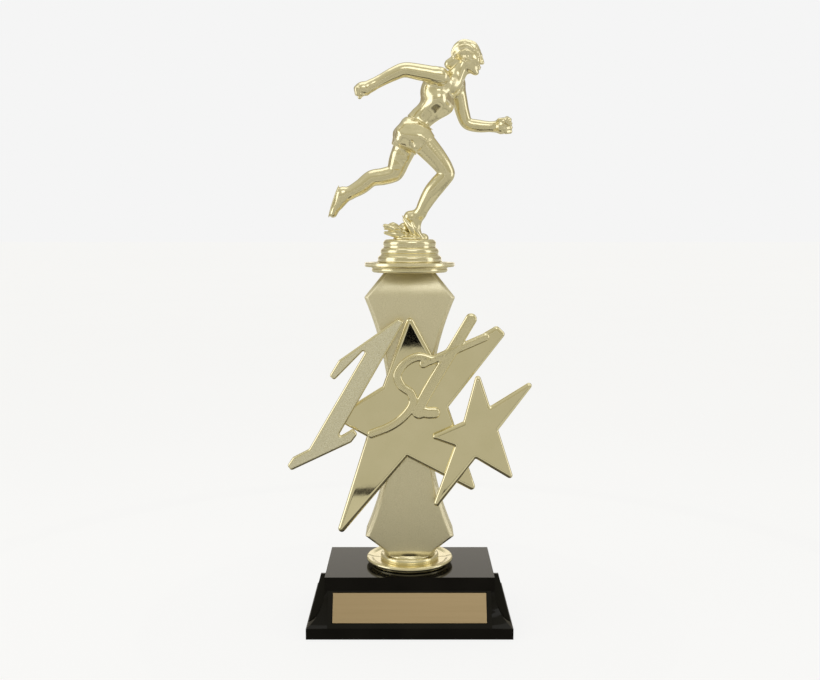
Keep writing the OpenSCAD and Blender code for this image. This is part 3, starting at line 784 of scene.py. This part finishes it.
def dress(clay):
    """Vest and shorts, raised off the skin with a hem."""
    vest_low, vest_high = (-6, -14, 268), (34, 14, 306)
    waist_cut = half_space(hip_at(0, 0, 7.4), -HIP_AXES[2])
    neck_hole = egg(chest_at(4.2, 0, 9.5), (6.4, 4.3, 6.2), CHEST_AXES)
    arm_holes = [egg(NEAR_ARM[0][:3], (5.6, 5.2, 6.0)), egg(FAR_ARM[0][:3], (5.2, 5.0, 5.8))]
    neck_back = egg(along(NECK, SKULL, 0.2), (5.2, 5.2, 5.2))

    def vest(x, y, z):
        region = np.maximum(waist_cut(x, y, z), -neck_hole[0](x, y, z))
        for hole in (*arm_holes, neck_back):
            region = np.maximum(region, -hole[0](x, y, z))
        return np.maximum(region, half_space(chest_at(0, 0, 9.5), CHEST_AXES[2])(x, y, z))

    def vest_fold(x, y, z):
        across = 0.75 * x + 0.5 * y - 0.45 * z
        return 0.08 * np.sin(1.1 * across + 1.4 * np.sin(0.33 * z + 0.2 * y))

    def shorts_fold(x, y, z):
        down = 0.35 * x + 0.9 * z
        return 0.2 * np.sin(1.05 * down + 1.2 * np.sin(0.3 * x - 0.25 * y))

    clay.cover(vest, vest_low, vest_high, 0.65, vest_fold)
    shorts_low, shorts_high = (-16, -14, 250), (20, 14, 282)
    band = half_space(hip_at(0, 0, 6.8), HIP_AXES[2])
    near_hip, near_mid, far_hip, far_mid = (np.array(p[:3]) for p in (*NEAR_LEG[:2], *FAR_LEG[:2]))
    near_hem = half_space(near_hip + (near_mid - near_hip) * 0.4, near_mid - near_hip)
    far_hem = half_space(far_hip + (far_mid - far_hip) * 0.45, far_mid - far_hip)

    def shorts(x, y, z):
        hem = np.where(y < 0, near_hem(x, y, z), far_hem(x, y, z))
        return np.maximum(band(x, y, z), hem)

    clay.cover(shorts, shorts_low, shorts_high, 0.75, shorts_fold)
    slit = [hip_at(1.6, -8.6, 3.4), hip_at(-0.2, -9.4, 0.4),
            hip_at(0.4, -10.3, -3.4), hip_at(3.4, -11.2, -7.4)]
    clay.cut(tube([(*p, 0.5) for p in slit]), 0.5)


FACES_FRONT = -0.97


def shaped_piece(name, clay, passes, body, node, materials):
    """A mesh from clay in place of a CAD node, relaxed. A second material goes on faces to the front."""
    points, quads = clay.mesh()
    mesh = bpy.data.meshes.new(name)
    mesh.vertices.add(len(points))
    mesh.vertices.foreach_set("co", (points * MM).astype(np.float32).ravel())
    mesh.loops.add(len(quads) * 4)
    mesh.loops.foreach_set("vertex_index", quads.astype(np.int32).ravel())
    mesh.polygons.add(len(quads))
    mesh.polygons.foreach_set("loop_start", np.arange(0, len(quads) * 4, 4, dtype=np.int32))
    mesh.update(calc_edges=True)
    mesh.shade_smooth()
    for material in materials:
        mesh.materials.append(material)
    if len(materials) > 1:
        normals = np.empty(len(quads) * 3, np.float32)
        mesh.polygons.foreach_get("normal", normals)
        mesh.polygons.foreach_set("material_index", (normals[1::3] < FACES_FRONT).astype(np.int32))
    thing = bpy.data.objects.new(name, mesh)
    bpy.context.scene.collection.objects.link(thing)
    if passes:
        relax = thing.modifiers.new("relax", "SMOOTH")
        relax.factor = 0.5
        relax.iterations = passes
    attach(thing, body)
    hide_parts(node)
    return thing


def flat_piece(name, outline, radii, grow, back, front, edge, materials):
    """An upright plate with rounded corners and edges, in place of the CAD node it is named after."""
    ring = [tuple(p) for p in rounded(outline, radii)]
    low = [min(p[k] for p in ring) - grow for k in (0, 1)]
    high = [max(p[k] for p in ring) + grow for k in (0, 1)]
    step = 0.3
    clay = Clay((low[0] - 1, -front - 1, low[1] - 1), (high[0] + 1, -back + 1, high[1] + 1), step)
    clay.add(slab(lambda x, z: outline_distance(ring, x, z) - grow, low, high, back, front, edge))
    return shaped_piece(name + "_skin", clay, 0, "riser", name, materials)


def build_stars():
    for name, outline, radii, grow, back, front in (
        ("large_star", LARGE_STAR, LARGE_TIPS, 1.0, STAR_BACK, STAR_FACE),
        ("small_star", SMALL_STAR, SMALL_TIPS, 0.6, STAR_FACE, FRONT_FACE),
    ):
        flat_piece(name, outline, radii, grow, back, front, 1.55, [MIRROR])


def build_ordinal():
    flat_piece("numeral_one", NUMERAL, NUMERAL_RADII, 0.3, STAR_FACE, FRONT_FACE, 1.1,
               [POLISHED, SPARKLE])
    step = 0.22
    clay = Clay((-24, -18, 104), (44, -14, 174), step)
    for line, width in ((smooth_line(LETTER_S), 4.8), (smooth_line(LETTER_T), 6.3), (LETTER_BAR, 4.6)):
        low = [min(p[k] for p in line) - width for k in (0, 1)]
        high = [max(p[k] for p in line) + width for k in (0, 1)]
        flat = lambda x, z, line=line, width=width: line_distance(line, x, z) - width / 2
        clay.add(slab(flat, low, high, STAR_FACE - 1, LETTER_FACE, 1.3), 0.6)
    behind = (half_space((0, -STAR_FACE, 0), (0, -1, 0)), (-24, -STAR_FACE, 104), (44, -14, 174))
    clay.cut(behind, 0.05)
    shaped_piece("ordinal_letters_skin", clay, 0, "riser", "ordinal_letters", [POLISHED])


def build_runner():
    step = 0.3
    clay = Clay((-49, -19, 211), (60, 19, 321), step)
    sculpt_torso(clay)
    sculpt_leg(clay, NEAR_LEG, 3, (0.85, 0, 0.2))
    sculpt_leg(clay, FAR_LEG, 2, (0.3, 0, -0.8))
    dress(clay)
    clay.add(tube(NEAR_ARM), 2.5)
    clay.add(tube(FAR_ARM), 2.5)
    sculpt_fist(clay, NEAR_ARM[-1][:3], NEAR_FIST, (0.35, 0.2, -0.9), 1.25)
    sculpt_fist(clay, FAR_ARM[-1][:3], FAR_FIST, (0.1, -0.7, -0.3), 1.36)
    sculpt_shoe(clay, NEAR_LEG[-1][:3], NEAR_HEEL, NEAR_TOE, (-0.8, 0, -0.5))
    sculpt_shoe(clay, FAR_LEG[-1][:3], FAR_HEEL, FAR_TOE, (-0.9, 0, 0.3))
    sculpt_head(clay)
    sculpt_hair(clay)
    shaped_piece("runner_figure", clay, 3, "figure", "runner", [POLISHED])


# ---- grass and rock under the foot -----------------------------------------

def build_tuft():
    step = 0.28
    z = PEDESTAL_TOP
    clay = Clay((-19, -13, z - 1), (15, 12, z + 13), step)
    clay.add(egg((0.5, -0.6, z), (9.6, 7.8, 2.6)))
    clay.add(egg((7.0, -2.0, z + 0.6), (3.4, 3.6, 2.6)), 0.5)
    clay.add(egg((-3.0, -1.6, z + 4.0), (3.8, 3.6, 5.0)), 1.5)
    rng = np.random.default_rng(7)
    for blade in (
        [(3.4, -4.6, z + 0.8, 2.0), (0.6, -6.2, z + 6, 1.8), (-2.6, -5.4, z + 10.6, 1.2)],
        [(6.0, -5.0, z + 0.8, 1.7), (3.4, -7.2, z + 5, 1.4), (1.4, -6.8, z + 9, 0.8)],
        [(-2.6, -3.6, z + 0.8, 1.8), (-8.2, -5.4, z + 5.4, 1.7), (-13.4, -5.6, z + 7.2, 1.1)],
        [(-2.2, -3.8, z + 0.8, 1.8), (-8.0, -5.0, z + 2.4, 1.6), (-13.2, -5.0, z + 3.4, 0.9)],
    ):
        clay.add(tube(blade), 0.25)
    for k in range(22):
        turn = 2 * math.pi * k / 22 + rng.uniform(-0.12, 0.12)
        west = max(0, -math.cos(turn))
        root = np.array((3.0 * math.cos(turn) - 0.5, 3.0 * math.sin(turn) - 0.6, z + 0.8))
        reach = (3.6 + 7.0 * west) * rng.uniform(0.75, 1.05)
        tall = (2.2 + 5.4 * west) * rng.uniform(0.55, 1.1)
        out = np.array((math.cos(turn), 0.75 * math.sin(turn), 0))
        line = [(*(root + out * reach * t + (0, 0, tall * math.sin(1.9 * t))), 1.45 - 0.85 * t * t)
                for t in (0, 0.35, 0.7, 1)]
        clay.add(tube(line), 0.3)
    clay.cut((half_space((0, 0, z - 0.1), (0, 0, 1)), (-19, -13, z - 4), (15, 12, z - 0.1)), 0.05)
    shaped_piece("ground_tuft_figure", clay, 1, "figure", "ground_tuft", [POLISHED])


# ---- studio ----------------------------------------------------------------

# The floor reaches past the view on every side. The glowing rings and cards laid over it show only in
# reflections, as painted reflections, light and dark.
FLOOR_REACH = 30000
FLOOR_GAP = 0.4
# Radii of the glowing rings: a painted dark reflection inside DARK_R and between LINE_IN_R and LINE_OUT_R,
# and a painted pale floor reflection between and beyond them.
DARK_R, LINE_IN_R, LINE_OUT_R, FAR_R = 150, 297, 320, 6000

def softbox(name, place, target, width, height, power, colour=(1, 1, 1)):
    """A rectangular lamp aimed at a target; distances in millimetres."""
    data = bpy.data.lights.new(name, "AREA")
    data.shape = "RECTANGLE"
    data.size, data.size_y = width * MM, height * MM
    data.energy = power
    data.color = colour
    lamp = bpy.data.objects.new(name, data)
    bpy.context.scene.collection.objects.link(lamp)
    lamp.location = Vector(place) * MM
    aim = (Vector(target) - Vector(place)).to_track_quat("-Z", "Y")
    lamp.rotation_euler = aim.to_euler()
    lamp.visible_camera = False
    return lamp


def card(name, points, faces, colour):
    """A glowing sheet, hidden from the camera, from diffuse light and from shadows, that shows only in
    reflections: a painted reflection, light or dark, on the shiny pieces.
    """
    mesh = bpy.data.meshes.new(name)
    mesh.from_pydata([Vector(p) * MM for p in points], [], faces)
    material = bpy.data.materials.new(name)
    material.use_nodes = True
    tree = material.node_tree
    tree.nodes.clear()
    glow = tree.nodes.new("ShaderNodeEmission")
    glow.inputs["Color"].default_value = (*colour, 1)
    out = tree.nodes.new("ShaderNodeOutputMaterial")
    tree.links.new(glow.outputs["Emission"], out.inputs["Surface"])
    mesh.materials.append(material)
    sheet = bpy.data.objects.new(name, mesh)
    bpy.context.scene.collection.objects.link(sheet)
    sheet.visible_camera = False
    sheet.visible_diffuse = False
    sheet.visible_shadow = False
    sheet.visible_transmission = False


def ring_card(name, inner, outer, colour):
    """A flat ring just above the floor, as a card of four-sided strips."""
    profile = [(inner, FLOOR_GAP), (outer, FLOOR_GAP)]
    card(name, *revolved(profile, 0, 360, 96), colour)


def oblong_card(name, low, high, colour):
    """An oblong card, flat or upright, between two opposite corners."""
    (x0, y0, z0), (x1, y1, z1) = low, high
    points = [(x0, y0, z0), (x1, y0, z0), (x1, y1, z1), (x0, y1, z1)]
    card(name, points, [(0, 1, 2, 3)], colour)


def build_studio():
    floor_mesh = bpy.data.meshes.new("floor")
    reach = FLOOR_REACH * MM
    corners = [(-reach, -reach, 0), (reach, -reach, 0), (reach, reach, 0), (-reach, reach, 0)]
    floor_mesh.from_pydata(corners, [], [(0, 1, 2, 3)])
    material, tree, shader = new_material("floor", Roughness=0.9, Emission_Strength=0.838)
    shader.inputs["Specular IOR Level"].default_value = 0.1
    tone = ramp(tree, noise(tree, 3, 2), (0.12, 0.12, 0.12), (0.125, 0.125, 0.125))
    tree.links.new(tone, shader.inputs["Base Color"])
    shader.inputs["Emission Color"].default_value = (1, 1, 1, 1)
    floor_mesh.materials.append(material)
    floor = bpy.data.objects.new("floor", floor_mesh)
    bpy.context.scene.collection.objects.link(floor)

    # Painted dark reflection: a dark glowing disc under the trophy that darkens the downward-facing gold
    # in reflection.
    ring_card("painted_dark_reflection_ring", 0, DARK_R, (0.11, 0.10, 0.075))
    # Painted dark reflection: a dark glowing ring that shows as a dark band in the shiny pieces.
    ring_card("painted_dark_reflection_line", LINE_IN_R, LINE_OUT_R, (0.06, 0.055, 0.045))
    # Painted reflections of a pale floor: glowing rings seen only in the shiny pieces.
    ring_card("painted_floor_reflection_near", DARK_R, LINE_IN_R, (0.60, 0.58, 0.47))
    ring_card("painted_floor_reflection_far", LINE_OUT_R, FAR_R, (0.53, 0.51, 0.41))
    # Painted reflection: a warm glowing patch on the floor behind the trophy, seen only in the shiny
    # pieces.
    oblong_card("painted_reflection_rear_patch", (-150, 15, 0.8), (150, 185, 0.8), (0.62, 0.58, 0.47))
    # Painted reflection: a bright glowing card behind the trophy, seen only in the shiny pieces.
    oblong_card("painted_reflection_rear_card", (-260, 600, 130), (260, 600, 360), (1.15, 1.08, 0.95))
    # Painted dark reflection: a near-black sheet in front of the trophy that shows as a black patch on the
    # star's top arm.
    oblong_card("painted_dark_reflection_camera_card", (-26, -572, 92), (26, -572, 130), (0.004, 0.004, 0.004))

    softbox("key", (120, -560, 620), (0, 0, 200), 420, 260, 0.4)
    softbox("left", (-620, -180, 300), (0, 0, 180), 420, 620, 0.95)
    softbox("right", (640, -120, 320), (0, 0, 180), 260, 620, 0.5)
    softbox("top", (0, 60, 900), (0, 0, 150), 700, 500, 0.85)

    world = bpy.data.worlds.new("studio")
    bpy.context.scene.world = world
    world.use_nodes = True
    tree = world.node_tree
    back = tree.nodes["Background"]
    place = tree.nodes.new("ShaderNodeTexCoord")
    split = tree.nodes.new("ShaderNodeSeparateXYZ")
    tree.links.new(place.outputs["Generated"], split.inputs["Vector"])
    sideways = blend_by(tree, split.outputs["Y"], -0.7, 0.7, (0.46, 0.43, 0.30), (0.34, 0.30, 0.23))
    around = blend_by(tree, split.outputs["Z"], 0.1, 0.75, sideways, (0.60, 0.58, 0.46))
    rays = tree.nodes.new("ShaderNodeLightPath")
    shown = blend_by(tree, rays.outputs["Is Camera Ray"], 0, 1, around, (0.913, 0.913, 0.913))
    tree.links.new(shown, back.inputs["Color"])


def blend_by(tree, value, start, end, first, last):
    """A colour that goes from first to last as value goes from start to end."""
    share = tree.nodes.new("ShaderNodeMapRange")
    share.inputs["From Min"].default_value = start
    share.inputs["From Max"].default_value = end
    tree.links.new(value, share.inputs["Value"])
    mix = tree.nodes.new("ShaderNodeMixRGB")
    tree.links.new(share.outputs["Result"], mix.inputs["Fac"])
    for name, colour in (("Color1", first), ("Color2", last)):
        if isinstance(colour, tuple):
            mix.inputs[name].default_value = (*colour, 1)
        else:
            tree.links.new(colour, mix.inputs[name])
    return mix.outputs["Color"]


CAMERA_PLACE = (0.2, -557.6, 214.8)
CAMERA_DOWN = 5.934
SENSOR, LENS = 36, 44.539


def build_camera():
    """The camera stands in front and looks down by CAMERA_DOWN degrees."""
    data = bpy.data.cameras.new("camera")
    data.sensor_width = SENSOR
    data.lens = LENS
    data.clip_start, data.clip_end = 0.01, 100
    camera = bpy.data.objects.new("camera", data)
    bpy.context.scene.collection.objects.link(camera)
    camera.location = Vector(CAMERA_PLACE) * MM
    camera.rotation_euler = Euler((math.radians(90 - CAMERA_DOWN), 0, 0))
    bpy.context.scene.camera = camera
    bpy.context.scene.view_settings.view_transform = "Standard"


# ---- put it together -------------------------------------------------------

build_base()
build_riser()
build_stars()
build_ordinal()
build_pedestal()
build_tuft()
build_runner()
build_studio()
build_camera()
